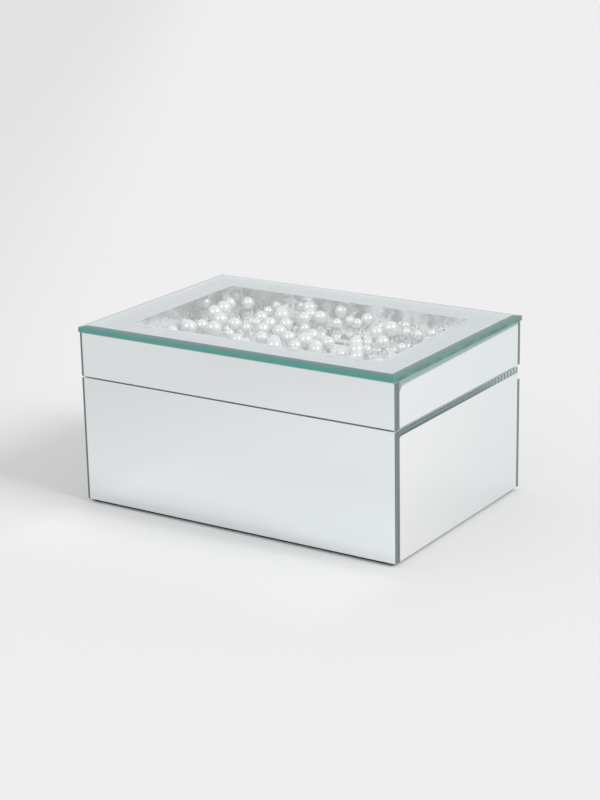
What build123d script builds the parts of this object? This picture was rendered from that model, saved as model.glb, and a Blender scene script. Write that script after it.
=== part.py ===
from build123d import *
import math
import os
import random

# Mirrored trinket box with a hinged lid. Millimetres, +Z up, front towards -Y.
# The origin is the middle of the footprint, on the surface that the box stands on.

os.makedirs("parts", exist_ok=True)

# ---- Driving dimensions ----
box_width = 240.0  # over the left and right glass, X
box_depth = 165.0  # over the front and back glass, Y
seam_height = 88.2  # underside of the lid
lid_height = 30.4  # lid glass and rails, up to the top plate
plate_thickness = 4.0
plate_overhang = 1.0
plate_bevel_width = 5.0
plate_bevel_drop = 0.9
plate_corner_dub = 0.8
glass_thickness = 3.0
glass_arris = 0.3
wall_thickness = 6.0
felt_thickness = 2.0
base_thickness = 5.0
seam_gap = 1.0  # slit between lid and body at the front
back_reveal = 9.8  # the back glass stops this far under the lid, clear of the hinges
joint_gap = 0.15  # glue line where two panes meet at a corner
lining_thickness = 1.5
lining_drop = 0.6  # velvet panels stop this far under the rim
pad_thickness = 5.0
pad_margin = 0.6
border_width = 26.2  # silvered margin of the top plate
silver_thickness = 0.2
tray_board_thickness = 3.0
tray_mirror_thickness = 2.0
tray_depth = 13.2  # free height under the silvering
tray_card = 1.0
lid_lining_drop = 0.5
lid_lining_thickness = 1.2
bumper_inset = 12.0
bumper_clearance = 0.02
hinge_spacing = 150.0
hinge_width = 30.0
hinge_axis_y = 81.1
hinge_axis_z = 85.2
knuckle_radius = 1.5
knuckle_gap = 0.15
pin_radius = 0.75
pin_seat_clearance = 0.02
pin_running_clearance = 0.05
pin_overhang = 0.3
leaf_thickness = 0.7
leaf_height = 6.4
leaf_reach = 7.2
screw_radius = 0.8
screw_head_radius = 1.5
screw_length = 4.6
screw_point = 1.0
screw_slot = 0.35
screw_clearance = 0.05
screw_spread = 10.0

# ---- Places worked out from them ----
half_width = box_width / 2
half_depth = box_depth / 2
glass_bottom = felt_thickness
carcass_x = half_width - glass_thickness
carcass_y = half_depth - glass_thickness
inner_x = carcass_x - wall_thickness
inner_y = carcass_y - wall_thickness
wall_bottom = felt_thickness + base_thickness
rim_height = seam_height - seam_gap
back_glass_top = seam_height - back_reveal
plate_bottom = seam_height + lid_height
rail_top = plate_bottom - silver_thickness
plate_x = half_width + plate_overhang
plate_y = half_depth + plate_overhang
tray_floor = rail_top - tray_depth
tray_board_bottom = tray_floor - tray_mirror_thickness - tray_board_thickness
lid_ceiling = tray_board_bottom - lining_thickness
tray_x = inner_x - tray_card
tray_y = inner_y - tray_card


def finish(piece, label):
    """Names a finished piece and writes it to its own file."""
    piece.part.label = label
    export_step(piece.part, "parts/" + label + ".step")


def slab(label, x_span, y_span, z_span, arris=0.0):
    """A rectangular board or pane between three pairs of limits, with its edges eased by arris."""
    with BuildPart() as board:
        with BuildSketch(Plane.XY.offset(z_span[0])):
            with Locations(((x_span[0] + x_span[1]) / 2, (y_span[0] + y_span[1]) / 2)):
                Rectangle(x_span[1] - x_span[0], y_span[1] - y_span[0])
        extrude(amount=z_span[1] - z_span[0])
        if arris > 0:
            chamfer(board.edges(), arris)
    finish(board, label)


def ring_of_slabs(label, outer_x, outer_y, thickness, z_span, arris=0.0):
    """Four boards round a rectangle: front and back run the full width, left and right fit between them."""
    side_y = outer_y - thickness
    slab(label + "_front", (-outer_x, outer_x), (-outer_y, -side_y), z_span, arris)
    slab(label + "_back", (-outer_x, outer_x), (side_y, outer_y), z_span, arris)
    slab(label + "_left", (-outer_x, thickness - outer_x), (-side_y, side_y), z_span, arris)
    slab(label + "_right", (outer_x - thickness, outer_x), (-side_y, side_y), z_span, arris)


# ---- Felt base and carcass floor ----
slab("felt_base", (-carcass_x, carcass_x), (-carcass_y, carcass_y), (0, felt_thickness))
slab("base_board", (-carcass_x, carcass_x), (-carcass_y, carcass_y), (felt_thickness, wall_bottom))


# ---- Carcass walls. The back one is drilled for the hinge screws ----
def screw_hole_places(row):
    """Places of the four hinge screws along X, at a given second coordinate."""
    return [
        (side * hinge_spacing / 2 + offset * screw_spread, row)
        for side in (-1, 1)
        for offset in (-1, 1)
    ]


body_screw_z = hinge_axis_z - leaf_height / 2 - knuckle_radius / 2
lid_screw_y = carcass_y - wall_thickness / 2
pilot_radius = screw_radius + screw_clearance
pilot_depth = screw_length + 2 * screw_clearance

slab("wall_front", (-carcass_x, carcass_x), (-carcass_y, -inner_y), (wall_bottom, rim_height))
slab("wall_left", (-carcass_x, -inner_x), (-inner_y, inner_y), (wall_bottom, rim_height))
slab("wall_right", (inner_x, carcass_x), (-inner_y, inner_y), (wall_bottom, rim_height))

with BuildPart() as wall_back:
    with BuildSketch(Plane.XY.offset(wall_bottom)):
        with Locations((0, (inner_y + carcass_y) / 2)):
            Rectangle(2 * carcass_x, wall_thickness)
    extrude(amount=rim_height - wall_bottom)
    # The plane faces +Y, so its own X axis runs towards -X; the pattern is symmetric.
    with BuildSketch(Plane(origin=(0, carcass_y, 0), x_dir=(-1, 0, 0), z_dir=(0, 1, 0))):
        with Locations(*screw_hole_places(body_screw_z)):
            Circle(pilot_radius)
    extrude(amount=-pilot_depth, mode=Mode.SUBTRACT)
finish(wall_back, "wall_back")


# ---- Body glass. Front and back panes cover the ends of the side panes ----
full_width = (-half_width, half_width)
front_glass = (-half_depth, -carcass_y)
back_glass = (carcass_y, half_depth)
left_glass = (-half_width, -carcass_x)
right_glass = (carcass_x, half_width)
between_panes = (joint_gap - carcass_y, carcass_y - joint_gap)
body_glass = (glass_bottom, rim_height)

slab("mirror_front", full_width, front_glass, body_glass, glass_arris)
slab("mirror_back", full_width, back_glass, (glass_bottom, back_glass_top), glass_arris)
slab("mirror_left", left_glass, between_panes, body_glass, glass_arris)
slab("mirror_right", right_glass, between_panes, body_glass, glass_arris)


# ---- Velvet linings and floor pad of the compartment ----
ring_of_slabs("lining", inner_x, inner_y, lining_thickness, (wall_bottom, rim_height - lining_drop))

pad_x = inner_x - lining_thickness - pad_margin
pad_y = inner_y - lining_thickness - pad_margin
pad_edge = 1.5
slab("floor_pad", (-pad_x, pad_x), (-pad_y, pad_y), (wall_bottom, wall_bottom + pad_thickness), pad_edge)


# ---- Two soft dots on the front rim that the lid closes on ----
bumper_x = inner_x - bumper_inset
bumper_y = -(inner_y + carcass_y) / 2
with BuildPart() as lid_bumpers:
    with BuildSketch(Plane.XY.offset(rim_height)):
        with Locations((-bumper_x, bumper_y), (bumper_x, bumper_y)):
            Circle(wall_thickness / 2 - glass_arris)
    extrude(amount=seam_gap - bumper_clearance)
finish(lid_bumpers, "lid_bumpers")


# ---- Lid frame. The back rail is drilled for the hinge screws ----
slab("lid_rail_front", (-carcass_x, carcass_x), (-carcass_y, -inner_y), (seam_height, rail_top))
slab("lid_rail_left", (-carcass_x, -inner_x), (-inner_y, inner_y), (seam_height, rail_top))
slab("lid_rail_right", (inner_x, carcass_x), (-inner_y, inner_y), (seam_height, rail_top))

with BuildPart() as lid_rail_back:
    with BuildSketch(Plane.XY.offset(seam_height)):
        with Locations((0, lid_screw_y)):
            Rectangle(2 * carcass_x, wall_thickness)
    extrude(amount=rail_top - seam_height)
    with BuildSketch(Plane.XY.offset(seam_height)):
        with Locations(*screw_hole_places(lid_screw_y)):
            Circle(pilot_radius)
    extrude(amount=pilot_depth, mode=Mode.SUBTRACT)
finish(lid_rail_back, "lid_rail_back")


# ---- Lid glass ----
lid_glass = (seam_height, rail_top - joint_gap)
slab("lid_mirror_front", full_width, front_glass, lid_glass, glass_arris)
slab("lid_mirror_back", full_width, back_glass, lid_glass, glass_arris)
slab("lid_mirror_left", left_glass, between_panes, lid_glass, glass_arris)
slab("lid_mirror_right", right_glass, between_panes, lid_glass, glass_arris)


# ---- Bevelled top plate ----
plate_edge_height = plate_thickness - plate_bevel_drop
with BuildPart() as top_glass:
    with BuildSketch(Plane.XY.offset(plate_bottom)) as plate_outline:
        Rectangle(2 * plate_x, 2 * plate_y)
        chamfer(plate_outline.vertices(), plate_corner_dub)
    extrude(amount=plate_edge_height)
    chamfer(top_glass.faces().sort_by(Axis.Z)[0].edges(), glass_arris)
    with BuildSketch(Plane.XY.offset(plate_bottom + plate_edge_height)) as bevel_foot:
        Rectangle(2 * plate_x, 2 * plate_y)
        chamfer(bevel_foot.vertices(), plate_corner_dub)
    with BuildSketch(Plane.XY.offset(plate_bottom + plate_thickness)) as bevel_top:
        Rectangle(2 * (plate_x - plate_bevel_width), 2 * (plate_y - plate_bevel_width))
        chamfer(bevel_top.vertices(), plate_corner_dub)
    loft()
finish(top_glass, "top_glass")


# ---- Silvered margin under the plate, open at the window ----
with BuildPart() as silver_border:
    with BuildSketch(Plane.XY.offset(rail_top)):
        Rectangle(2 * (plate_x - glass_arris), 2 * (plate_y - glass_arris))
        Rectangle(2 * (plate_x - border_width), 2 * (plate_y - border_width), mode=Mode.SUBTRACT)
    extrude(amount=silver_thickness)
finish(silver_border, "silver_border")


# ---- Display tray under the window ----
inner_width = (-inner_x, inner_x)
inner_depth = (-inner_y, inner_y)
tray_mirror_bottom = tray_floor - tray_mirror_thickness
slab("tray_board", inner_width, inner_depth, (tray_board_bottom, tray_mirror_bottom))
slab("tray_mirror", inner_width, inner_depth, (tray_mirror_bottom, tray_floor))
ring_of_slabs("tray_liner", inner_x, inner_y, tray_card, (tray_floor, rail_top))


# ---- Velvet inside the lid ----
slab("lid_lining", inner_width, inner_depth, (lid_ceiling, tray_board_bottom))
lid_lining_low = seam_height + lid_lining_drop
ring_of_slabs("lid_lining", inner_x, inner_y, lid_lining_thickness, (lid_lining_low, lid_ceiling))


# ---- Loose fill of the tray ----
# Pearls are dropped one at a time, the largest first. Each one is tried at a random place in one of a few
# heaps, and it stays where it clears the card and every pearl before it. All of them rest on the tray's
# mirror. A heap is (middle X, middle Y, spread along X, spread along Y, share of the fill).
heaps = (
    (-70.0, -24.0, 9.0, 17.0, 0.12),
    (-40.0, 10.0, 15.0, 10.0, 0.13),
    (8.0, -28.0, 24.0, 15.0, 0.33),
    (50.0, 0.0, 12.0, 18.0, 0.11),
    (76.0, -42.0, 11.0, 9.0, 0.10),
    (84.0, 14.0, 8.0, 9.0, 0.08),
    (0.0, 46.0, 52.0, 10.0, 0.13),
)
fill_kinds = (
    ("pearls_large", 11.0, 12),
    ("pearls_medium", 9.2, 42),
    ("pearls_small", 7.0, 26),
    ("glass_beads", 3.0, 80),
)
fill_seed = 20
fill_gap = 0.15
fill_tries = 400

chance = random.Random(fill_seed)
placed = []
for kind, diameter, count in fill_kinds:
    radius = diameter / 2
    centres = []
    for _ in range(count):
        for _ in range(fill_tries):
            heap = chance.choices(heaps, weights=[h[-1] for h in heaps])[0]
            x = chance.gauss(heap[0], heap[2])
            y = chance.gauss(heap[1], heap[3])
            in_tray = abs(x) < tray_x - radius - fill_gap and abs(y) < tray_y - radius - fill_gap
            # Balls on one floor touch when their centres, seen from above, are 2 sqrt(r1 r2) apart.
            clear = all(
                math.hypot(x - px, y - py) > 2 * math.sqrt(radius * pr) + fill_gap for px, py, pr in placed
            )
            if in_tray and clear:
                placed.append((x, y, radius))
                centres.append((x, y, tray_floor + radius + fill_gap))
                break
    with BuildPart() as fill:
        with Locations(*centres):
            Sphere(radius)
    finish(fill, kind)


# ---- Butt hinges: body leaf on the back of the wall, lid leaf under the lid's back rail ----
knuckle_length = (hinge_width - 2 * knuckle_gap) / 3
knuckle_offset = knuckle_length + knuckle_gap
leaf_low = hinge_axis_z - leaf_height
leaf_outer_y = carcass_y + leaf_thickness


def knuckle_plane(x):
    """The YZ plane at x, with its origin on the hinge axis."""
    return Plane(origin=(x, hinge_axis_y, hinge_axis_z), x_dir=(0, 1, 0), z_dir=(1, 0, 0))


def body_leaf(label, x):
    """An upright leaf with two outer knuckles, notched in the middle for the lid's knuckle."""
    bore = pin_radius + pin_seat_clearance
    with BuildPart() as leaf:
        with BuildSketch(Plane(origin=(x, carcass_y, 0), x_dir=(-1, 0, 0), z_dir=(0, 1, 0))):
            with Locations((0, leaf_low + leaf_height / 2)):
                Rectangle(hinge_width, leaf_height)
            notch_height = knuckle_radius + knuckle_gap
            with Locations((0, hinge_axis_z - notch_height / 2)):
                Rectangle(knuckle_length + 2 * knuckle_gap, notch_height, mode=Mode.SUBTRACT)
        extrude(amount=leaf_thickness)
        for side in (-1, 1):
            with BuildSketch(knuckle_plane(x + side * knuckle_offset - knuckle_length / 2)):
                Circle(knuckle_radius)
            extrude(amount=knuckle_length)
        with BuildSketch(knuckle_plane(x - hinge_width / 2)):
            Circle(bore)
        extrude(amount=hinge_width, mode=Mode.SUBTRACT)
        for offset in (-1, 1):
            place = (x + offset * screw_spread, leaf_outer_y, body_screw_z)
            with Locations(Location(Plane(origin=place, z_dir=(0, 1, 0)))):
                CounterSinkHole(pilot_radius, screw_head_radius + screw_clearance, depth=2 * leaf_thickness)
    finish(leaf, label)


def lid_leaf(label, x):
    """A flat leaf under the lid rail that runs out past the wall and drops to the middle knuckle."""
    leaf_back = hinge_axis_y + knuckle_radius
    leaf_front = leaf_back - leaf_thickness - leaf_reach
    bore = pin_radius + pin_running_clearance
    with BuildPart() as leaf:
        with BuildSketch(Plane.XY.offset(seam_height - leaf_thickness)):
            with Locations((x, (leaf_front + leaf_back) / 2)):
                Rectangle(hinge_width, leaf_back - leaf_front)
        extrude(amount=leaf_thickness)
        with BuildSketch(Plane.XY.offset(hinge_axis_z)):
            with Locations((x, leaf_back - leaf_thickness / 2)):
                Rectangle(knuckle_length, leaf_thickness)
        extrude(amount=seam_height - hinge_axis_z)
        with BuildSketch(knuckle_plane(x - knuckle_length / 2)):
            Circle(knuckle_radius)
        extrude(amount=knuckle_length)
        with BuildSketch(knuckle_plane(x - knuckle_length / 2)):
            Circle(bore)
        extrude(amount=knuckle_length, mode=Mode.SUBTRACT)
        for offset in (-1, 1):
            place = (x + offset * screw_spread, lid_screw_y, seam_height - leaf_thickness)
            with Locations(Location(Plane(origin=place, z_dir=(0, 0, -1)))):
                CounterSinkHole(pilot_radius, screw_head_radius + screw_clearance, depth=2 * leaf_thickness)
    finish(leaf, label)


def hinge_pin(label, x):
    """A plain pin through the three knuckles, proud of them at both ends."""
    with BuildPart() as pin:
        with BuildSketch(knuckle_plane(x - hinge_width / 2 - pin_overhang)):
            Circle(pin_radius)
        extrude(amount=hinge_width + 2 * pin_overhang)
        chamfer(pin.edges().filter_by(GeomType.CIRCLE), pin_overhang / 2)
    finish(pin, label)


def hinge_screws(label, places):
    """Countersunk slotted screws at planes whose normal points out of the head."""
    head_depth = screw_head_radius - screw_radius
    with BuildPart() as screw:
        with BuildSketch(Plane.XZ):
            with BuildLine():
                Polyline(
                    (0, 0),
                    (screw_head_radius, 0),
                    (screw_radius, -head_depth),
                    (screw_radius, screw_point - screw_length),
                    (0, -screw_length),
                    close=True,
                )
            make_face()
        revolve(axis=Axis.Z)
        with BuildSketch(Plane.XY):
            Rectangle(3 * screw_head_radius, screw_slot)
        extrude(amount=-screw_slot, mode=Mode.SUBTRACT)
    with BuildPart() as screws:
        with Locations(*[Location(place) for place in places]):
            add(screw.part)
    finish(screws, label)


for side, name in ((-1, "left"), (1, "right")):
    hinge_x = side * hinge_spacing / 2
    body_leaf("hinge_leaf_body_" + name, hinge_x)
    lid_leaf("hinge_leaf_lid_" + name, hinge_x)
    hinge_pin("hinge_pin_" + name, hinge_x)

hinge_screws(
    "body_hinge_screws",
    [Plane(origin=(x, leaf_outer_y, z), z_dir=(0, 1, 0)) for x, z in screw_hole_places(body_screw_z)],
)
hinge_screws(
    "lid_hinge_screws",
    [
        Plane(origin=(x, y, seam_height - leaf_thickness), z_dir=(0, 0, -1))
        for x, y in screw_hole_places(lid_screw_y)
    ],
)
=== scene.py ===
# %% [markdown]
# # A mirrored trinket box with a lid full of pearls
# The real box is a fibreboard carcass with panes of mirror glass stuck to every side. Its hinged lid is a
# shallow tray under a thick bevelled plate of glass, silvered round the border and clear in the middle, and
# loose pearls and beads lie inside that tray. The boards, panes, hinges and pearls come from the frame at
# their real places. This file gives each of them its finish, and adds the soft and the tiny pieces: velvet
# panels, the floor pad and the crystal grains between the pearls.

# %% Load the frame
import math

import bmesh
import bpy
import numpy as np
from mathutils import Matrix, Vector


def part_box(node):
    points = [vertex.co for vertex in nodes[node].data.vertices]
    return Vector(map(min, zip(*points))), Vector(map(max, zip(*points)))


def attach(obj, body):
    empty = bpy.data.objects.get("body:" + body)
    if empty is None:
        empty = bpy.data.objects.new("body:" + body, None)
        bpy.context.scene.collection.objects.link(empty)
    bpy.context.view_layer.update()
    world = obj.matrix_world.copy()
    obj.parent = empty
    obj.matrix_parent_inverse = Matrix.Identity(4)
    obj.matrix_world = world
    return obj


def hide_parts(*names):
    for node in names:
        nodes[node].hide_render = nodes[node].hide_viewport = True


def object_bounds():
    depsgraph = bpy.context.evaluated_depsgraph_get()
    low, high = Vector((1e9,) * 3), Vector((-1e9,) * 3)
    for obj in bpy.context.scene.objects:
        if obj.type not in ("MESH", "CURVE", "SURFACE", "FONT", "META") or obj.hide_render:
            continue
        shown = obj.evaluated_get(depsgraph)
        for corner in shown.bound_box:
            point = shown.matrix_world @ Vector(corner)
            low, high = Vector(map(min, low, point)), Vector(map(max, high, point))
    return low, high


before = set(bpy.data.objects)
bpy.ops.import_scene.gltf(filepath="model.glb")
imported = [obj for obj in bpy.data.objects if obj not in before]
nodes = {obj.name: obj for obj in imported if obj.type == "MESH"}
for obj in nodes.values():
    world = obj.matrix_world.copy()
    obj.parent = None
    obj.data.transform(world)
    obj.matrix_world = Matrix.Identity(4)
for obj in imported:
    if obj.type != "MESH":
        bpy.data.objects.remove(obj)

cad_box = [list(corner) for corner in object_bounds()]
MM = 0.001

# %% [markdown]
# ## Camera
# A long lens, about 1.36 metres away, looks down on the near corner, so that the front, one side and the
# window in the lid all show. A camera could be aimed with a constraint, but it is built from its own three
# axes here, because they say plainly where it looks: *back* points from the box to the lens, and *right* and
# *up* lie in the picture. A small roll is turned in last.

# %% The camera
VIEW_AZIMUTH = math.radians(33.11)
VIEW_ELEVATION = math.radians(17.24)
VIEW_ROLL = math.radians(-1.13)
VIEW_DISTANCE = 1.3555
AIM = Vector((0.0, 0.0, 0.0526))
SLIDE_RIGHT = -0.00161
SLIDE_UP = 0.01406
SENSOR_WIDTH = 36.0      # millimetres, as is the focal length
FOCAL_LENGTH = 91.1


def turned_axes(azimuth, elevation, roll):
    """Right, up and back of a camera: back is (sin a cos e, -cos a cos e, sin e), right is level and square
    to it, up is back x right, and the roll turns right and up about back."""
    flat = math.cos(elevation)
    back = Vector((math.sin(azimuth) * flat, -math.cos(azimuth) * flat, math.sin(elevation)))
    level = Vector((0.0, 0.0, 1.0)).cross(back).normalized()
    upright = back.cross(level)
    right = math.cos(roll) * level + math.sin(roll) * upright
    up = math.cos(roll) * upright - math.sin(roll) * level
    return right, up, back


right, up, back = turned_axes(VIEW_AZIMUTH, VIEW_ELEVATION, VIEW_ROLL)
camera = bpy.data.objects.new("camera", bpy.data.cameras.new("camera"))
camera.data.sensor_width = SENSOR_WIDTH
camera.data.lens = FOCAL_LENGTH
camera.data.clip_end = 100.0
place = AIM + VIEW_DISTANCE * back + SLIDE_RIGHT * right + SLIDE_UP * up
camera.matrix_world = Matrix.Translation(place) @ Matrix((right, up, back)).transposed().to_4x4()
bpy.context.scene.collection.objects.link(camera)
bpy.context.scene.camera = camera
print("camera at", [round(c, 3) for c in place])

# %% [markdown]
# ## Node helpers
# Every finish below is one Principled shader whose colour, metal, roughness and bump come from a few small
# nodes. Building them by hand in the editor would work as well, but a recipe in code can be read and used
# again. `calc` is a Math node, `step` fades from 0 to 1 between two values, and `both`, `either` and
# `opposite` join such shares as *and*, *or* and *not*.

# %% Numbers and shares
def feed(tree, socket, value):
    """Puts a number or colour on a socket, or links another socket to it."""
    if isinstance(value, bpy.types.NodeSocket):
        tree.links.new(value, socket)
    else:
        socket.default_value = value


def calc(tree, operation, first, second=0.0):
    """One Math node; first and second are numbers or sockets."""
    node = tree.nodes.new("ShaderNodeMath")
    node.operation = operation
    feed(tree, node.inputs[0], first)
    feed(tree, node.inputs[1], second)
    return node.outputs[0]


def step(tree, value, low, high, start=0.0, end=1.0):
    """Goes smoothly from start, where value is at or under low, to end, where it is at or over high."""
    node = tree.nodes.new("ShaderNodeMapRange")
    node.interpolation_type = "SMOOTHSTEP"
    feed(tree, node.inputs["Value"], value)
    for name, number in (("From Min", low), ("From Max", high), ("To Min", start), ("To Max", end)):
        feed(tree, node.inputs[name], number)
    return node.outputs["Result"]


def both(tree, first, second):
    """1 only where both shares are 1: their product."""
    return calc(tree, "MULTIPLY", first, second)


def either(tree, first, second):
    """1 where one share or the other is 1: the larger of them."""
    return calc(tree, "MAXIMUM", first, second)


def opposite(tree, share):
    """1 where share is 0, and 0 where it is 1."""
    return step(tree, share, 0.0, 1.0, 1.0, 0.0)


print("shares are joined with both, either and opposite")

# %% [markdown]
# A finish needs colours and patterns too. `blend_colour` mixes two colours, and `speckle` is a noise texture
# read at the object's own coordinates, so a pattern stays on its piece when the lid opens. A number that is
# the same all over a piece goes straight onto the shader's own socket.

# %% Colours and patterns
COLOUR_A, COLOUR_B, MIXED_COLOUR = 6, 7, 2      # a Mix node's sockets for colours


def blend_colour(tree, share, first, second):
    """The first colour where share is 0, the second where it is 1."""
    node = tree.nodes.new("ShaderNodeMix")
    node.data_type = "RGBA"
    feed(tree, node.inputs["Factor"], share)
    feed(tree, node.inputs[COLOUR_A], first)
    feed(tree, node.inputs[COLOUR_B], second)
    return node.outputs[MIXED_COLOUR]


def dimmed(colour, part):
    """The colour at this part of its brightness."""
    return [c * part for c in colour[:3]] + [1]


def speckle(tree, size, detail=2.0, stretch=(1.0, 1.0, 1.0)):
    """Noise with features about size metres across, longer where stretch is over 1."""
    mapping = tree.nodes.new("ShaderNodeMapping")
    tree.links.new(tree.nodes["Place"].outputs["Object"], mapping.inputs["Vector"])
    mapping.inputs["Scale"].default_value = [1 / (size * part) for part in stretch]
    noise = tree.nodes.new("ShaderNodeTexNoise")
    noise.inputs["Scale"].default_value = 1.0
    noise.inputs["Detail"].default_value = detail
    tree.links.new(mapping.outputs["Vector"], noise.inputs["Vector"])
    return noise.outputs["Fac"]


def raise_grain(tree, shader, height, depth, strength=1.0):
    """Bumps the shader by height, from 0 to 1, over depth metres."""
    bump = tree.nodes.new("ShaderNodeBump")
    bump.inputs["Strength"].default_value = strength
    bump.inputs["Distance"].default_value = depth
    feed(tree, bump.inputs["Height"], height)
    tree.links.new(bump.outputs["Normal"], shader.inputs["Normal"])


print("patterns are read at the object's own coordinates")

# %% Finishes and pieces
def new_finish(name):
    """An empty finish: its material, its node tree and its Principled shader. The node called Place gives
    the object's coordinates, and the one called Axes gives them one by one."""
    material = bpy.data.materials.new(name)
    material.use_nodes = True
    tree = material.node_tree
    shader = tree.nodes["Principled BSDF"]
    source = tree.nodes.new("ShaderNodeTexCoord")
    source.name = "Place"
    axes = tree.nodes.new("ShaderNodeSeparateXYZ")
    axes.name = "Axes"
    tree.links.new(source.outputs["Object"], axes.inputs[0])
    return material, tree, shader


def set_sockets(shader, settings):
    """Sets the shader's own sockets, each to one value all over."""
    for socket, value in settings.items():
        shader.inputs[socket].default_value = value


def dress(material, *names):
    """Gives the finish to these nodes of the frame."""
    for name in names:
        nodes[name].data.materials.clear()
        nodes[name].data.materials.append(material)
    print(material.name, "on", len(names), "nodes")


def new_piece(name, mesh):
    """An object for this mesh, in the scene."""
    piece = bpy.data.objects.new(name, mesh)
    bpy.context.scene.collection.objects.link(piece)
    return piece


print("materials so far:", len(bpy.data.materials))

# %% [markdown]
# ## Table
# The box stands on a pale table that runs out of the picture on every side. Mirror glass shows nothing of
# its own, so this emptiness *is* the look of the panes. A real table is never lit quite evenly: it grows
# dimmer far from the lamps, and a strip of it before the box is a little brighter, because the front pane
# throws light down there. Both are painted into its finish, a painted shade away from the key lamp and a
# painted pool of light before the box, since a mirror's patch of light is noisy to trace.

# %% The table top
TABLE_HALF = 12.0
TABLE_TONES = ((0.752, 0.752, 0.754, 1), (0.765, 0.765, 0.767, 1))
PAINTED_SHADE_TONE = (0.68, 0.68, 0.682, 1)
DIM_HEADING = math.radians(212.8)
DIM_REACH = (0.14, 0.42)
PAINTED_GLOW_TONE = (0.825, 0.825, 0.827, 1)
GLOW_RISE = (0.008, 0.022)
GLOW_FALL = (0.035, 0.13)
GLOW_ENDS = (0.10, 0.15)


def table_finish():
    """A pale blotchy tone with painted light and shade. A painted shade dims it over DIM_REACH, counted
    along
    DIM_HEADING as x cos h + y sin h. A painted pool of light makes it glow before the front pane, between
    GLOW_RISE and GLOW_FALL, as far sideways as GLOW_ENDS."""
    material, tree, shader = new_finish("pale_table_painted_light")
    colour = blend_colour(tree, speckle(tree, 0.4), *TABLE_TONES)
    axes = tree.nodes["Axes"].outputs
    toward_painted_shade = calc(tree, "ADD", calc(tree, "MULTIPLY", axes["X"], math.cos(DIM_HEADING)),
                 calc(tree, "MULTIPLY", axes["Y"], math.sin(DIM_HEADING)))
    # Painted shade: the table darkens along DIM_HEADING, away from the key lamp.
    colour = blend_colour(tree, step(tree, toward_painted_shade, *DIM_REACH), colour, PAINTED_SHADE_TONE)
    ahead = calc(tree, "SUBTRACT", cad_box[0][1], axes["Y"])
    strip = both(tree, step(tree, ahead, *GLOW_RISE), step(tree, ahead, *GLOW_FALL, 1.0, 0.0))
    beside = step(tree, calc(tree, "ABSOLUTE", axes["X"]), *GLOW_ENDS, 1.0, 0.0)
    # Painted light: a brighter strip before the front pane, where the pane throws light down.
    colour = blend_colour(tree, both(tree, strip, beside), colour, PAINTED_GLOW_TONE)
    feed(tree, shader.inputs["Base Color"], colour)
    set_sockets(shader, {"Roughness": 0.85, "Specular IOR Level": 0.1})
    return material


def studio_floor():
    """A square of table top, twice TABLE_HALF wide, under the box: its corners are (+-1, +-1, 0) times
    TABLE_HALF."""
    corners = np.array(((-1, -1, 0), (1, -1, 0), (1, 1, 0), (-1, 1, 0))) * TABLE_HALF
    mesh = bpy.data.meshes.new("studio_floor")
    mesh.from_pydata(corners.tolist(), [], [(0, 1, 2, 3)])
    mesh.materials.append(table_finish())
    return new_piece("studio_floor", mesh)


floor = studio_floor()
print("table is", 2 * TABLE_HALF, "m wide")

# %% [markdown]
# ## Light
# The sky is even and pale. The key lamp from the right throws the one soft shadow to the left. It can't be
# seen in a mirror, or the panes would throw hard patches of light on the table. Two glint lamps give each
# pearl its pair of highlights. They are linked to the pieces that should sparkle, the pearls, beads, grains,
# tray walls and metal, and pass all others by.

# %% Lamps and sky
KEY_PLACE = {"azimuth": 93, "elevation": 40}
FILL_PLACE = {"azimuth": -9, "elevation": 40}
SKY_TONE = (0.855, 0.855, 0.858, 1)
SPARKLING = ("pearls", "glass_beads", "tray_liner", "hinge_")


def soft_lamp(name, azimuth, elevation, strength, spread):
    """A far lamp, spread degrees across, at this azimuth and elevation round the box."""
    lamp = bpy.data.objects.new(name, bpy.data.lights.new(name, "SUN"))
    lamp.data.energy = strength
    lamp.data.angle = math.radians(spread)
    axes = turned_axes(math.radians(azimuth), math.radians(elevation), 0.0)
    lamp.matrix_world = Matrix(axes).transposed().to_4x4()
    bpy.context.scene.collection.objects.link(lamp)
    return lamp


key_lamp = soft_lamp("key_lamp", **KEY_PLACE, strength=1.4, spread=24)
key_lamp.visible_glossy = False
glinting = bpy.data.collections.new("glinting_pieces")
for lamp in (soft_lamp("key_glint", **KEY_PLACE, strength=1.6, spread=12),
             soft_lamp("fill_glint", **FILL_PLACE, strength=1.0, spread=12)):
    lamp.visible_diffuse = False
    lamp.light_linking.receiver_collection = glinting
for name, piece in nodes.items():
    if name.startswith(SPARKLING) or "screws" in name:
        glinting.objects.link(piece)
world = bpy.data.worlds.new("pale_sky")
world.use_nodes = True
world.node_tree.nodes["Background"].inputs["Color"].default_value = SKY_TONE
bpy.context.scene.world = world
bpy.context.scene.view_settings.view_transform = "Standard"

# %% [markdown]
# ## Mirror panes
# A pane is 3 mm float glass, silvered behind. Its face is a clean mirror with the faint green of the glass,
# and a painted reflection in its colour makes some panes brighter than others, and each brighter at one end
# than at the other. Its ground edges are dark grey-green, because there the eye looks into the glass and not
# at the silver.
# The silvering stops short of some edges and leaves them bare: dark strips up the ends of the panes, a dark
# band under the top edge of the body's side panes, with painted light lightening it towards the back, a
# painted highlight along it and a row of ticks, and a pale band that narrows to the back on the lid's. These
# are too thin to need shapes of their own, so the finish works them out from the pane's own box.

# %% Bare margins of the silvering
EDGE_TONE = (0.13, 0.17, 0.165, 1)
SKYLIT_EDGE_TONE = (0.70, 0.78, 0.77, 1)
PAINTED_HIGHLIGHT_TONE = (0.17, 0.23, 0.225, 1)
TICK_TONE = (0.38, 0.45, 0.45, 1)
PAINTED_HIGHLIGHT_SPAN = (1.1 * MM, 1.9 * MM)
TICK_PITCH = 4.4 * MM
TICKED_SHARE = (0.62, 0.97)
CRISP = 0.1 * MM
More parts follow.
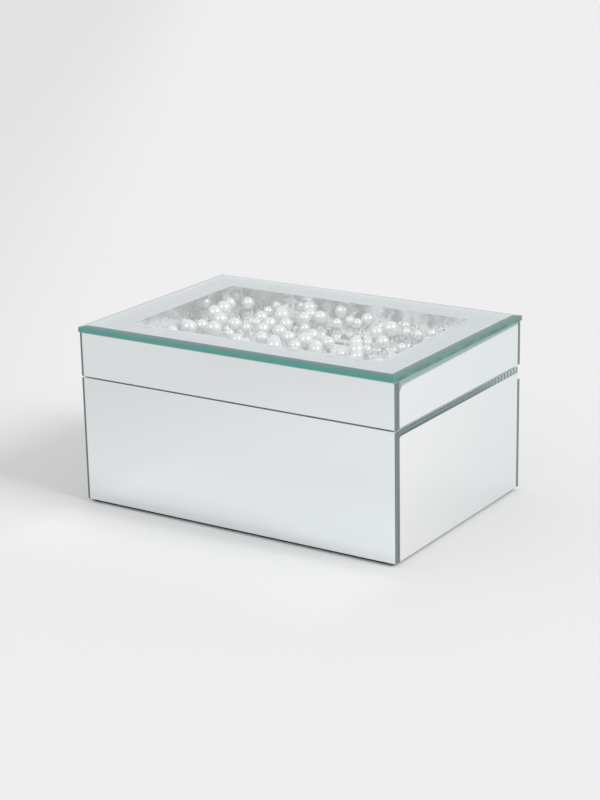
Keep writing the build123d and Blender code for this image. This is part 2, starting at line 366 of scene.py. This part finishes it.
# The body's band goes lighter towards the back: painted light, where more light reaches the recess behind
# the bare glass.
BODY_BAND = {"tones": ((0.078, 0.121, 0.127, 1), (0.105, 0.17, 0.165, 1)), "widths": (4.0 * MM, 4.0 * MM),
             "cut": 1.2 * MM, "soft": CRISP, "ticked": True}
LID_BAND = {"tones": ((0.25, 0.35, 0.34, 1), (0.22, 0.34, 0.33, 1)), "widths": (3.7 * MM, 1.5 * MM),
            "cut": 3.2 * MM, "soft": 0.9 * MM, "ticked": False}


def under(tree, value, line, soft=CRISP):
    """1 where value is under line and 0 over it, with a change of 2 x soft between."""
    return step(tree, calc(tree, "SUBTRACT", value, line), -soft, soft, 1.0, 0.0)


def bare_band(tree, band, from_start, from_top, share, strip):
    """1 on the bare band: nearer the top edge than its width, which is first + share x (second - first), and
    where the silver's corner is cut off, as from_start + from_top is small there."""
    first, second = band["widths"]
    width = calc(tree, "ADD", first, calc(tree, "MULTIPLY", share, second - first))
    slant = under(tree, calc(tree, "ADD", from_start, from_top), strip + first + band["cut"])
    return either(tree, under(tree, from_top, width, band["soft"]), slant)


def band_colour(tree, band, from_top, share, place):
    """Colour of the bare band: it goes from its first tone to its second along the pane, and on the body's
    panes this lightening to the back is painted light. A ticked one has a painted highlight, a pale line
    about a third of the way down, and towards its far end pale ticks where the sine of place, once round
    every TICK_PITCH, is high."""
    colour = blend_colour(tree, step(tree, share, 0.1, 1.0), *band["tones"])
    if not band["ticked"]:
        return colour
    # Painted highlight: a pale line where the bevelled back edge of the glass catches light.
    upper, lower = PAINTED_HIGHLIGHT_SPAN
    painted_highlight = calc(tree, "SUBTRACT", under(tree, from_top, lower), under(tree, from_top, upper))
    colour = blend_colour(tree, either(tree, painted_highlight, 0.0), colour, PAINTED_HIGHLIGHT_TONE)
    wave = calc(tree, "SINE", calc(tree, "MULTIPLY", place, 2 * math.pi / TICK_PITCH))
    ticks = both(tree, step(tree, wave, -0.5, 0.4), step(tree, share, *TICKED_SHARE))
    return blend_colour(tree, ticks, colour, TICK_TONE)


print("ticks along the body's side panes: one every", round(TICK_PITCH / MM, 1), "mm")

# %% Mirror glass for one pane
ARRIS = 0.3 * MM
HAZE_SIZE = 60 * MM
HAZE_DIM = 0.985
FACE_ROUGHNESS = (0.012, 0.035)
GROUND_ROUGHNESS = 0.12


def ground_edge(tree, height, bottom, top):
    """Colour of the ground edges: the level ones, as far from the pane's middle height as its own top and
    bottom, are painted paler, a painted light where they catch the sky."""
    half = (top - bottom) / 2
    from_middle = calc(tree, "ABSOLUTE", calc(tree, "SUBTRACT", height, (bottom + top) / 2))
    level = step(tree, from_middle, half - 0.1 * MM, half - 0.02 * MM)
    # Painted light: the level ground edges are paler than the upright ones, as lit by the sky.
    return blend_colour(tree, level, EDGE_TONE, SKYLIT_EDGE_TONE)


def pane_finish(name, outward, sign, strips, tints_with_painted_light, band=None):
    """Mirror glass for one pane, whose face looks along axis outward, 0 or 1, the way that sign says. What
    lies deeper than ARRIS behind the face is ground edge. The silver's colour goes from the first tint given
    to the second along the pane: the green of the glass with a painted reflection, brighter at one end. The
    strips are the widths of the bare ones at its two ends, and band is the bare band under its top edge."""
    low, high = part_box(name)
    along = 1 - outward
    material, tree, shader = new_finish(name + "_glass")
    axes = tree.nodes["Axes"].outputs
    face = high[outward] if sign > 0 else low[outward]
    depth = calc(tree, "MULTIPLY", calc(tree, "SUBTRACT", face, axes[outward]), sign)
    ground = step(tree, depth, ARRIS - 0.04 * MM, ARRIS + 0.02 * MM)
    from_start = calc(tree, "SUBTRACT", axes[along], low[along])
    from_end = calc(tree, "SUBTRACT", high[along], axes[along])
    from_top = calc(tree, "SUBTRACT", high.z, axes["Z"])
    upright = either(tree, under(tree, from_start, strips[0]), under(tree, from_end, strips[1]))
    share = calc(tree, "DIVIDE", from_start, high[along] - low[along])
    haze = speckle(tree, HAZE_SIZE, 3.0)
    silver = blend_colour(tree, share, *tints_with_painted_light)
    dimmer = blend_colour(tree, share, *(dimmed(tint, HAZE_DIM) for tint in tints_with_painted_light))
    colour = blend_colour(tree, haze, silver, dimmer)
    dull = either(tree, ground, upright)
    if band:
        bare = bare_band(tree, band, from_start, from_top, share, strips[0])
        colour = blend_colour(tree, bare, colour, band_colour(tree, band, from_top, share, axes[along]))
        dull = either(tree, dull, bare)
    colour = blend_colour(tree, upright, colour, EDGE_TONE)
    edge = ground_edge(tree, axes["Z"], low.z, high.z)
    feed(tree, shader.inputs["Base Color"], blend_colour(tree, ground, colour, edge))
    feed(tree, shader.inputs["Metallic"], opposite(tree, dull))
    smear = step(tree, haze, 0.35, 0.75, *FACE_ROUGHNESS)
    roughness = calc(tree, "ADD", smear, calc(tree, "MULTIPLY", ground, GROUND_ROUGHNESS))
    feed(tree, shader.inputs["Roughness"], roughness)
    return material


print("ground edge starts", round(ARRIS / MM, 2), "mm behind the face")

# %% The eight panes
LONG_STRIPS = (1.8 * MM, 0.4 * MM)
SIDE_STRIPS = (2.2 * MM, 0.0)
# The tints are the faint green of the glass with a painted reflection: each pane is painted brighter at one
# end, and some panes brighter than others, as the table and sky they show are.
PANE_TINTS_AND_PAINTED_LIGHT = {
    "mirror_long": ((0.86, 0.89, 0.90, 1), (0.885, 0.925, 0.935, 1)),
    "mirror_side": ((1.0, 1.0, 1.0, 1), (0.875, 0.915, 0.915, 1)),
    "lid_mirror_long": ((0.895, 0.92, 0.925, 1), (0.865, 0.905, 0.915, 1)),
    "lid_mirror_side": ((0.93, 0.965, 0.97, 1), (0.865, 0.91, 0.915, 1)),
}

for panes, band in (("mirror_", BODY_BAND), ("lid_mirror_", LID_BAND)):
    for side, sign in (("front", -1), ("back", 1)):
        glass = pane_finish(panes + side, 1, sign, LONG_STRIPS, PANE_TINTS_AND_PAINTED_LIGHT[panes + "long"])
        dress(glass, panes + side)
    for side, sign in (("left", -1), ("right", 1)):
        glass = pane_finish(panes + side, 0, sign, SIDE_STRIPS, PANE_TINTS_AND_PAINTED_LIGHT[panes + "side"], band)
        dress(glass, panes + side)

# %% [markdown]
# ## The top plate
# One piece of thick float glass with a wide polished bevel. The silver under its border is part of this
# finish as well, seen through the glass, and the middle is left clear. The green of the edge is the long
# way that light takes through the glass. It could be traced as tinted glass, but it is painted on, because
# the edge is lit from every side alike. The first step finds where each part of the plate is.

# %% Where the plate is bevelled, cut and silvered
plate_low, plate_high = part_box("top_glass")
BORDER = 26.2 * MM
window_half = (plate_high.x - BORDER, plate_high.y - BORDER)
BEVEL_WIDTH = 5 * MM
BEVEL_DROP = 0.9 * MM
EDGE_REACH = (0.2 * MM, 0.9 * MM)
BLUR = 0.06 * MM


def plate_shares(tree, axes):
    """Shares of the plate: its bevel, its cut edge, its border, the border's silver, and where the nearest
    edge is an end of the plate. inset is the smaller of the distances to an end, half the length - |x|, and
    to a long side, half the width - |y|. below is the depth under the top."""
    reach_x = calc(tree, "ABSOLUTE", axes["X"])
    reach_y = calc(tree, "ABSOLUTE", axes["Y"])
    to_end = calc(tree, "SUBTRACT", plate_high.x, reach_x)
    to_long = calc(tree, "SUBTRACT", plate_high.y, reach_y)
    inset = calc(tree, "MINIMUM", to_end, to_long)
    below = calc(tree, "SUBTRACT", plate_high.z, axes["Z"])
    bevel = both(tree, step(tree, inset, BEVEL_WIDTH - 0.1 * MM, BEVEL_WIDTH, 1.0, 0.0),
                 step(tree, below, 0.01 * MM, 0.05 * MM))
    bevel = both(tree, bevel, step(tree, below, BEVEL_DROP, BEVEL_DROP + BLUR, 1.0, 0.0))
    edge = both(tree, step(tree, inset, *EDGE_REACH, 1.0, 0.0),
                step(tree, below, BEVEL_DROP, BEVEL_DROP + BLUR))
    border = either(tree, calc(tree, "GREATER_THAN", reach_x, window_half[0]),
                    calc(tree, "GREATER_THAN", reach_y, window_half[1]))
    underside = calc(tree, "GREATER_THAN", below, plate_high.z - plate_low.z - 0.05 * MM)
    silver = both(tree, both(tree, border, underside), opposite(tree, edge))
    at_end = calc(tree, "LESS_THAN", to_end, to_long)
    return {"bevel": bevel, "edge": edge, "border": border, "silver": silver, "at_end": at_end,
            "below": below}


print("window:", [round(2 * half / MM, 1) for half in window_half], "mm")

# %% [markdown]
# The long edges are a clear bottle green. The ends are murkier and blotched. Seen from above, the bevel
# along the front and the right is dark, because the view bends down into the green edge there. Along the
# back and the left it stays pale. Both are painted: the dark a painted view into the green edge, the pale a
# painted reflection of the sky. The paint could be a picture wrapped round the plate, but shares of the
# plate's own box stay sharp at any distance.

# %% Green edge and grey bevel
EDGE_GREENS = ((0.085, 0.34, 0.285, 1), (0.072, 0.35, 0.29, 1))
MURKY_GREENS = ((0.058, 0.165, 0.146, 1), (0.10, 0.235, 0.21, 1))
BEVEL_GREENS = ((0.115, 0.215, 0.21, 1), (0.055, 0.175, 0.162, 1))
PAINTED_PALE_BEVEL = (0.40, 0.47, 0.465, 1)
GREEN_DEPTHS = (1.2 * MM, 3.9 * MM)
BLOTCH = 4 * MM


def plate_paint(tree, axes, shares):
    """Colour of the bevel and the cut edge: each goes from its upper green to its lower one, and the bevel
    at the back and the left takes a pale painted reflection.
    """
    deep = step(tree, shares["below"], *GREEN_DEPTHS)
    green = blend_colour(tree, deep, *EDGE_GREENS)
    blotch = step(tree, speckle(tree, BLOTCH, 3.0, (1.0, 3.0, 1.0)), 0.35, 0.65)
    green = blend_colour(tree, shares["at_end"], green, blend_colour(tree, blotch, *MURKY_GREENS))
    slope = blend_colour(tree, step(tree, shares["below"], 0.0, BEVEL_DROP), *BEVEL_GREENS)
    # Painted light and shade: the bevel is dark at the front and right and pale at the back and left, a
    # painted reflection of the sky.
    left = both(tree, shares["at_end"], calc(tree, "LESS_THAN", axes["X"], 0.0))
    rear = both(tree, opposite(tree, shares["at_end"]), calc(tree, "GREATER_THAN", axes["Y"], 0.0))
    slope = blend_colour(tree, either(tree, left, rear), slope, PAINTED_PALE_BEVEL)
    return blend_colour(tree, shares["edge"], slope, green)


print("bevel:", round(BEVEL_WIDTH / MM, 1), "mm wide,", round(BEVEL_DROP / MM, 1), "mm down")

# %% [markdown]
# Glass that bends every ray would keep the lamps off the pearls, because a lamp can't be found through it.
# So the window lets shadow rays, scattered rays and those on their way between mirrors straight through, and
# only bends what is looked at. A Light Path node tells them apart.

# %% Top plate glass
CLEAR_TONE = (0.975, 0.992, 0.988, 1)
SILVER_TONE = (0.78, 0.83, 0.85, 1)
PASSED_TONE = (0.95, 0.965, 0.962, 1)


def let_light_through(tree, shader, border, solid):
    """Mixes the glass with open air, which stands in for it on rays that don't come from the eye."""
    passing = tree.nodes.new("ShaderNodeLightPath").outputs
    reflected = calc(tree, "SUBTRACT", passing["Is Glossy Ray"], passing["Is Transmission Ray"])
    mirrored = both(tree, either(tree, reflected, 0.0), opposite(tree, border))
    free = either(tree, passing["Is Shadow Ray"], passing["Is Diffuse Ray"])
    free = both(tree, either(tree, free, mirrored), opposite(tree, solid))
    open_air = tree.nodes.new("ShaderNodeBsdfTransparent")
    open_air.inputs["Color"].default_value = PASSED_TONE
    mix = tree.nodes.new("ShaderNodeMixShader")
    tree.links.new(free, mix.inputs[0])
    tree.links.new(shader.outputs[0], mix.inputs[1])
    tree.links.new(open_air.outputs[0], mix.inputs[2])
    tree.links.new(mix.outputs[0], tree.nodes["Material Output"].inputs["Surface"])


def plate_finish():
    """Clear glass with a green edge, a grey-green bevel and silver under the border. The paint is only on
    the outside of the glass."""
    material, tree, shader = new_finish("top_plate_glass")
    axes = tree.nodes["Axes"].outputs
    shares = plate_shares(tree, axes)
    colour = blend_colour(tree, shares["silver"], CLEAR_TONE, SILVER_TONE)
    inside = tree.nodes.new("ShaderNodeNewGeometry").outputs["Backfacing"]
    painted = both(tree, either(tree, shares["bevel"], shares["edge"]), opposite(tree, inside))
    colour = blend_colour(tree, painted, colour, plate_paint(tree, axes, shares))
    solid = either(tree, painted, shares["silver"])
    feed(tree, shader.inputs["Base Color"], colour)
    feed(tree, shader.inputs["Metallic"], shares["silver"])
    feed(tree, shader.inputs["Transmission Weight"], opposite(tree, solid))
    set_sockets(shader, {"Roughness": 0.01, "IOR": 1.5})
    let_light_through(tree, shader, shares["border"], solid)
    return material


dress(plate_finish(), "top_glass")

# %% [markdown]
# ## Silver under the glass and in the tray
# The border is a coat of silver, as bright as the panes, and its back is sealed with grey paint like that of
# any mirror. The tray's floor is a sheet of mirror, which doubles every pearl, and its walls are
# silver-coated card, a little softer and greyer. One recipe makes all three, because they differ in colour,
# roughness and waviness alone.

# %% Silver finishes
BACKING_PAINT = (0.54, 0.54, 0.545, 1)


def silver_finish(name, colour, roughness, wave, depth, paint_under=None):
    """Metal of one colour with a slow waviness of wave metres and a little haze. Below the height
    paint_under, where that is given, it is the grey paint on the back of a mirror."""
    material, tree, shader = new_finish(name)
    haze = speckle(tree, wave, 4.0)
    silver = blend_colour(tree, haze, colour, dimmed(colour, HAZE_DIM))
    if paint_under is None:
        set_sockets(shader, {"Metallic": 1.0})
    else:
        sealed = under(tree, tree.nodes["Axes"].outputs["Z"], paint_under, 0.01 * MM)
        silver = blend_colour(tree, sealed, silver, BACKING_PAINT)
        feed(tree, shader.inputs["Metallic"], opposite(tree, sealed))
    feed(tree, shader.inputs["Base Color"], silver)
    feed(tree, shader.inputs["Roughness"], step(tree, haze, 0.3, 0.7, roughness * 0.8, roughness * 1.2))
    if depth:
        raise_grain(tree, shader, haze, depth)
    return material


TRAY_TONE = (0.88, 0.895, 0.905, 1)
CARD_TONE = (0.86, 0.87, 0.88, 1)
dress(silver_finish("tray_mirror_sheet", TRAY_TONE, roughness=0.04, wave=0.05, depth=0.0), "tray_mirror")
liners = [name for name in nodes if name.startswith("tray_liner")]
dress(silver_finish("silver_card", CARD_TONE, roughness=0.16, wave=0.02, depth=0.004 * MM), *liners)

# %% [markdown]
# The coat itself touches the glass in the frame, and two faces in one place confuse a ray of light. It could
# be moved down, but a frame's piece stays where it is. A ring of its own, a hair lower, stands for it: four
# strips that meet in mitres, carried round the window.

# %% The silver border as a ring
GAP = 0.04 * MM


def ring_mesh(name, inner, outer, low, high):
    """A flat closed ring. Its section is a rectangle, and each of the four points of the section is
    carried round the corners (+-x, +-y) of its own rectangle."""
    turns = np.array(((1, 1), (-1, 1), (-1, -1), (1, -1)))
    section = ((inner, low), (outer, low), (outer, high), (inner, high))
    rounds = [np.column_stack((turns * half, np.full(4, z))) for half, z in section]
    corner, part = np.arange(4), np.arange(4)[:, None]
    after, beside = (corner + 1) % 4, (part + 1) % 4
    faces = np.stack(np.broadcast_arrays(part * 4 + corner, part * 4 + after,
                                         beside * 4 + after, beside * 4 + corner), -1)
    mesh = bpy.data.meshes.new(name)
    mesh.from_pydata(np.concatenate(rounds).tolist(), [], faces.reshape(-1, 4).tolist())
    mesh.update()
    return new_piece(name, mesh)


coat_low, coat_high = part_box("silver_border")
coat_top = coat_high.z - GAP
border_ring = ring_mesh("silver_border_coat", np.array(window_half), np.array((coat_high.x, coat_high.y)),
                        coat_low.z, coat_top)
silver_coat = silver_finish("silver_coat", SILVER_TONE, roughness=0.02, wave=0.03, depth=0.0,
                            paint_under=(coat_low.z + coat_top) / 2)
border_ring.data.materials.append(silver_coat)
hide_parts("silver_border")
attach(border_ring, "lid")
print("ring faces:", len(border_ring.data.polygons))

# %% [markdown]
# ## Pearls
# Imitation pearls are beads dipped in a lacquer with fine mica in it: a pale body, a soft metallic glow
# under a hard gloss, and a faint change of tint from bead to bead. The glow is a little metal and a little
# light under the skin, and the hard gloss is the shader's coat.

# %% Pearl lacquer
PEARL_TONES = ((0.80, 0.79, 0.785, 1), (0.76, 0.77, 0.78, 1))


def pearl_finish():
    """Pale lacquer with a broad soft gloss under a sharp clear one. The noise that tints it is wider than
    a pearl."""
    material, tree, shader = new_finish("pearl_lacquer")
    feed(tree, shader.inputs["Base Color"], blend_colour(tree, speckle(tree, 0.014, 0.0), *PEARL_TONES))
    set_sockets(shader, {"Metallic": 0.25, "Roughness": 0.30, "IOR": 1.65})
    set_sockets(shader, {"Subsurface Weight": 0.15, "Subsurface Scale": 1.0,
                         "Subsurface Radius": (2 * MM, 2 * MM, 2 * MM)})
    set_sockets(shader, {"Coat Weight": 1.0, "Coat Roughness": 0.06, "Coat IOR": 1.7})
    return material


pearls = ("pearls_large", "pearls_medium", "pearls_small")
dress(pearl_finish(), *pearls)

# %% [markdown]
# ## Clear beads and crystal grains
# Between the pearls lie clear glass beads, and about two thousand grains of crystal, a millimetre or less
# across, that only show as sparks. Some gather round the pearls, because a shaken tray packs small things
# against big ones, and the rest lie anywhere. None may sink into a pearl or a bead. A scatter of copies
# would make thousands of objects, so all the grains are one mesh of balls with few faces.

# %% Clear and crystal finishes
def clear_finish(name, clearness, roughness, lining=0.0):
    """Clear glass, or soft clear rubber where it is rougher. A lining of silver shines and shows nothing
    through."""
    material, tree, shader = new_finish(name)
    shine = speckle(tree, 0.003, 0.0)
    colour = blend_colour(tree, shine, (0.90, 0.92, 0.94, 1), (0.97, 0.97, 0.97, 1))
    feed(tree, shader.inputs["Base Color"], colour)
    set_sockets(shader, {"Transmission Weight": clearness, "Roughness": roughness, "Metallic": lining,
                         "IOR": 1.55})
    return material


dress(clear_finish("bead_glass", clearness=0.8, roughness=0.03), "glass_beads")

# %% Where the pearls are
def ball_places(name):
    """Centres and radius of the balls in one node. They all lie on the tray, so the highest point of each
    is straight above its centre."""
    points = np.empty(len(nodes[name].data.vertices) * 3)
    nodes[name].data.vertices.foreach_get("co", points)
    points = points.reshape(-1, 3)
    low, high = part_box(name)
    radius = (high.z - low.z) / 2
    tops = points[points[:, 2] > high.z - 1e-6]
    centres = np.unique(np.round(tops[:, :2], 5), axis=0)
    return centres, radius


balls = {name: ball_places(name) for name in (*pearls, "glass_beads")}
for name, (centres, radius) in balls.items():
    print(name, len(centres), "balls of", round(2 * radius / MM, 2), "mm")

# %% Scatter the crystal grains
GRAINS = 2600
GRAIN_SIZES = (0.28 * MM, 0.52 * MM)
GRAIN_SEED = 7
STRAY = 0.6
SPREAD = 7 * MM
WALL_GAP = 0.1 * MM
BALL_GAP = 0.05 * MM
tray_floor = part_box("tray_mirror")[1].z
tray_half = np.array([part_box("tray_liner_right")[0].x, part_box("tray_liner_back")[0].y])


def scatter_grains(chance):
    """Places and radii of the grains: each starts near a ball, spread as a bell curve, or anywhere if it is
    one of the stray ones. It lies on the tray, and is dropped if it would touch a ball, another grain or the
    tray's wall. Two balls of radii r and s on one floor touch where their centres are 2 sqrt(r s) apart."""
    hosts = np.concatenate([centres for centres, _ in balls.values()])
    near = hosts[chance.integers(0, len(hosts), GRAINS)] + chance.normal(0, SPREAD, (GRAINS, 2))
    anywhere = chance.uniform(-tray_half, tray_half, (GRAINS, 2))
    places = np.where(chance.random((GRAINS, 1)) < STRAY, anywhere, near)
    sizes = chance.uniform(*GRAIN_SIZES, GRAINS)
    keep = (np.abs(places) < tray_half - sizes[:, None] - WALL_GAP).all(1)
    for centres, radius in balls.values():
        apart = np.linalg.norm(places[:, None] - centres[None], axis=2)
        keep &= (apart > 2 * np.sqrt(radius * sizes)[:, None] + BALL_GAP).all(1)
    places, sizes = places[keep], sizes[keep]
    between = np.linalg.norm(places[:, None] - places[None], axis=2) - sizes[:, None] - sizes[None]
    earlier = np.tril(np.ones_like(between, dtype=bool), -1)
    free = ~((between < 0) & earlier).any(1)
    return places[free], sizes[free]


grain_places, grain_sizes = scatter_grains(np.random.default_rng(GRAIN_SEED))
print("grains kept:", len(grain_sizes))

# %% Make the grains
def ball_mesh(name, centres, radii, rings=4, spokes=8):
    """Closed balls in one mesh. A ball is its centre plus its radius times
    (sin t cos p, sin t sin p, cos t), with t in rings steps from pole to pole and p round the spokes."""
    t = np.linspace(0, np.pi, rings + 1)[1:-1, None]
    p = np.linspace(0, 2 * np.pi, spokes, endpoint=False)[None]
    around = np.stack((np.sin(t) * np.cos(p), np.sin(t) * np.sin(p), np.cos(t) + 0 * p), -1).reshape(-1, 3)
    unit = np.concatenate((around, ((0, 0, 1), (0, 0, -1))))
    points = centres[:, None] + radii[:, None, None] * unit[None]
    spoke = np.arange(spokes)
    following = (spoke + 1) % spokes
    rows = np.arange(rings - 2)[:, None] * spokes
    bands = np.stack((rows + spoke, rows + spokes + spoke, rows + spokes + following, rows + following), -1)
    north, south = len(unit) - 2, len(unit) - 1
    last = (rings - 2) * spokes
    caps = np.concatenate((np.stack((np.full(spokes, north), spoke, following), -1),
                           np.stack((np.full(spokes, south), last + following, last + spoke), -1)))
    start = np.arange(len(centres))[:, None, None] * len(unit)
    faces = (bands.reshape(-1, 4)[None] + start).reshape(-1, 4).tolist()
    faces += (caps[None] + start).reshape(-1, 3).tolist()
    mesh = bpy.data.meshes.new(name)
    mesh.from_pydata(points.reshape(-1, 3).tolist(), [], faces)
    mesh.shade_smooth()
    return new_piece(name, mesh)


GRAIN_LIFT = 0.02 * MM
grain_centres = np.column_stack((grain_places, tray_floor + grain_sizes + GRAIN_LIFT))
grains = ball_mesh("crystal_grains", grain_centres, grain_sizes)
grains.data.materials.append(clear_finish("crystal", clearness=0.0, roughness=0.32, lining=0.6))
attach(grains, "lid")
glinting.objects.link(grains)
print("grain faces:", len(grains.data.polygons))

# %% [markdown]
# ## Boards and felt
# The carcass is fibreboard. Where it shows between the panes it is painted grey, and the hidden boards
# stay raw, with short pressed fibres. A sheet of black felt keeps the box from scratching the table. All
# three are the same pressed fibres, so one recipe of stretched noise makes them, and felt adds a sheen.

# %% Boards and felt
FIBRE = 1.2 * MM


def board_finish(name, colour, contrast, roughness, depth):
    """Pressed fibres: noise of FIBRE, three times as long along X and half as long again along Y, goes from
    the colour at this contrast to the colour itself, and raises the grain by depth."""
    material, tree, shader = new_finish(name)
    fibres = speckle(tree, FIBRE, 4.0, (3.0, 1.5, 1.0))
    feed(tree, shader.inputs["Base Color"], blend_colour(tree, fibres, dimmed(colour, contrast), colour))
    feed(tree, shader.inputs["Roughness"], step(tree, fibres, 0.3, 0.7, roughness - 0.08, roughness + 0.08))
    raise_grain(tree, shader, fibres, depth, 0.6)
    return material


painted = [name for name in nodes if name.startswith(("wall_", "lid_rail_"))]
dress(board_finish("grey_paint", (0.36, 0.385, 0.39, 1), 0.85, 0.5, 0.05 * MM), *painted)
raw_board = board_finish("raw_fibreboard", (0.36, 0.25, 0.15, 1), 0.55, 0.85, 0.15 * MM)
dress(raw_board, "base_board", "tray_board")
felt = board_finish("black_felt", (0.022, 0.022, 0.023, 1), 0.4, 0.9, 0.4 * MM)
set_sockets(felt.node_tree.nodes["Principled BSDF"], {"Sheen Weight": 0.3})
dress(felt, "felt_base")

# %% [markdown]
# ## Velvet panels
# The inside is lined with grey velvet glued round card, and a thicker wadded pad lies on the floor. The
# velvet itself is sheen: its pile catches light at grazing angles, and where it was brushed it goes lighter.

# %% Velvet
VELVET_TONES = ((0.060, 0.064, 0.076, 1), (0.135, 0.140, 0.158, 1))
BRUSHED_SHARE = 0.6


def velvet_finish():
    """Dark pile with brushed patches and a bright sheen. Its shade is BRUSHED_SHARE of slow noise and the
    rest of very fine noise, which is the pile."""
    material, tree, shader = new_finish("grey_velvet")
    brushed = step(tree, speckle(tree, 0.035, 3.0, (1.0, 2.2, 1.4)), 0.35, 0.65)
    pile = speckle(tree, 0.6 * MM, 2.0)
    shade = calc(tree, "ADD", calc(tree, "MULTIPLY", brushed, BRUSHED_SHARE),
                 calc(tree, "MULTIPLY", pile, 1 - BRUSHED_SHARE))
    feed(tree, shader.inputs["Base Color"], blend_colour(tree, shade, *VELVET_TONES))
    set_sockets(shader, {"Roughness": 0.95, "Specular IOR Level": 0.15, "Sheen Weight": 0.8,
                         "Sheen Roughness": 0.35, "Sheen Tint": (0.80, 0.83, 0.90, 1)})
    raise_grain(tree, shader, pile, 0.25 * MM, 0.7)
    return material


velvet = velvet_finish()
print("made", velvet.name)

# %% [markdown]
# The frame only holds plain slabs for the panels. Each is replaced by a closed surface over two parameters:
# a back that stays flat and a face that swells, both rounded over where the cloth turns the edge. A bevelled
# and inflated box would be quicker to make, but its swell couldn't be given in millimetres.

# %% The shape of a panel that swells
def places_along(low, high, turn, even=40, round_steps=7):
    """Places from low to high, close together within turn of each end and even between."""
    rounding = turn * (1 - np.cos(np.linspace(0, np.pi / 2, round_steps)))
    middle = np.linspace(low + turn, high - turn, even)[1:-1]
    return np.concatenate((low + rounding, middle, (high - rounding)[::-1]))


def swelled_slab(low, high, outward, sign, turn, crown):
    """Points of a face and a back over the slab from low to high. With e the distance to the nearest side
    over turn, at most 1, both stand half the thickness times sqrt(1 - (1 - e)^2) off the middle. The face is
    pressed down by crown towards its rim, as (1 - |a|^3)(1 - |b|^3) falls away, where a and b run from -1 to
    1 across it."""
    first, second = [axis for axis in range(3) if axis != outward]
    a = places_along(low[first], high[first], turn)[:, None]
    b = places_along(low[second], high[second], turn)[None]
    lift = np.ones((a.size, b.size))
    swell = np.ones((a.size, b.size))
    for line, axis in ((a, first), (b, second)):
        side = np.minimum(np.minimum(line - low[axis], high[axis] - line) / turn, 1)
        lift = lift * np.sqrt(np.maximum(1 - (1 - side) ** 2, 0))
        across = (2 * line - low[axis] - high[axis]) / (high[axis] - low[axis])
        swell = swell * (1 - np.abs(across) ** 3)
    half = (high[outward] - low[outward]) / 2
    middle = (high[outward] + low[outward]) / 2
    points = np.empty((2, a.size, b.size, 3))
    points[..., first] = a
    points[..., second] = b
    points[0, ..., outward] = middle + sign * lift * (half - crown * (1 - swell))
    points[1, ..., outward] = middle - sign * lift * half
    return points


print("places along a 100 mm side:", len(places_along(0.0, 100 * MM, 1 * MM)))

# %% A velvet panel for each slab
def close_up(mesh):
    """Merges doubled points, then turns every face outwards and shades it smooth."""
    work = bmesh.new()
    work.from_mesh(mesh)
    bmesh.ops.remove_doubles(work, verts=work.verts, dist=1e-6)
    bmesh.ops.recalc_face_normals(work, faces=work.faces)
    work.to_mesh(mesh)
    work.free()
    mesh.shade_smooth()


def velvet_panel(name, outward, sign, turn, crown, body):
    """Replaces one slab by its swelled surface: a grid of four-sided faces for the face, and the same grid
    the other way round for the back. They meet all round the rim."""
    low, high = (np.array(corner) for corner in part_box(name))
    points = swelled_slab(low, high, outward, sign, turn, crown)
    rows, columns = points.shape[1:3]
    cell = np.arange(rows * columns).reshape(rows, columns)
    quads = np.stack((cell[:-1, :-1], cell[1:, :-1], cell[1:, 1:], cell[:-1, 1:]), -1).reshape(-1, 4)
    faces = np.concatenate((quads, quads[:, ::-1] + rows * columns))
    mesh = bpy.data.meshes.new(name + "_velvet")
    mesh.from_pydata(points.reshape(-1, 3).tolist(), [], faces.tolist())
    close_up(mesh)
    mesh.materials.append(velvet)
    piece = new_piece(name + "_velvet", mesh)
    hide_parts(name)
    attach(piece, body)
    return piece


for side, outward, sign in (("front", 1, 1), ("back", 1, -1), ("left", 0, 1), ("right", 0, -1)):
    velvet_panel("lining_" + side, outward, sign, turn=0.9 * MM, crown=0.15 * MM, body="box_body")
    velvet_panel("lid_lining_" + side, outward, sign, turn=0.7 * MM, crown=0.1 * MM, body="lid")
velvet_panel("lid_lining", 2, -1, turn=0.9 * MM, crown=0.2 * MM, body="lid")
floor_pad = velvet_panel("floor_pad", 2, 1, turn=2.4 * MM, crown=1.2 * MM, body="box_body")
print("pad faces:", len(floor_pad.data.polygons))

# %% [markdown]
# ## Hinges, screws and bumpers
# Two small nickel-plated butt hinges and their screws hold the lid at the back. Plated steel keeps fine
# draw lines along its length. An anisotropic shader could suggest them, but noise stretched forty times
# along X shows them close up as well. At the front the lid comes down on two clear soft dots.

# %% Metal and rubber
DRAW_LINE = 0.4 * MM


def nickel_finish(name, colour, roughness):
    """Plated steel with fine lines along X: stretched noise of DRAW_LINE shades it and raises its grain."""
    material, tree, shader = new_finish(name)
    lines = speckle(tree, DRAW_LINE, 3.0, (40.0, 1.0, 1.0))
    feed(tree, shader.inputs["Base Color"], blend_colour(tree, lines, dimmed(colour, 0.86), colour))
    set_sockets(shader, {"Metallic": 1.0})
    feed(tree, shader.inputs["Roughness"], step(tree, lines, 0.25, 0.75, roughness - 0.06, roughness + 0.08))
    raise_grain(tree, shader, lines, 0.02 * MM, 0.5)
    return material


hinges = [name for name in nodes if name.startswith("hinge_")]
dress(nickel_finish("nickel_plate", (0.62, 0.61, 0.58, 1), 0.26), *hinges)
dress(nickel_finish("screw_nickel", (0.66, 0.65, 0.62, 1), 0.2), "body_hinge_screws", "lid_hinge_screws")
dress(clear_finish("clear_rubber", clearness=0.6, roughness=0.25), "lid_bumpers")
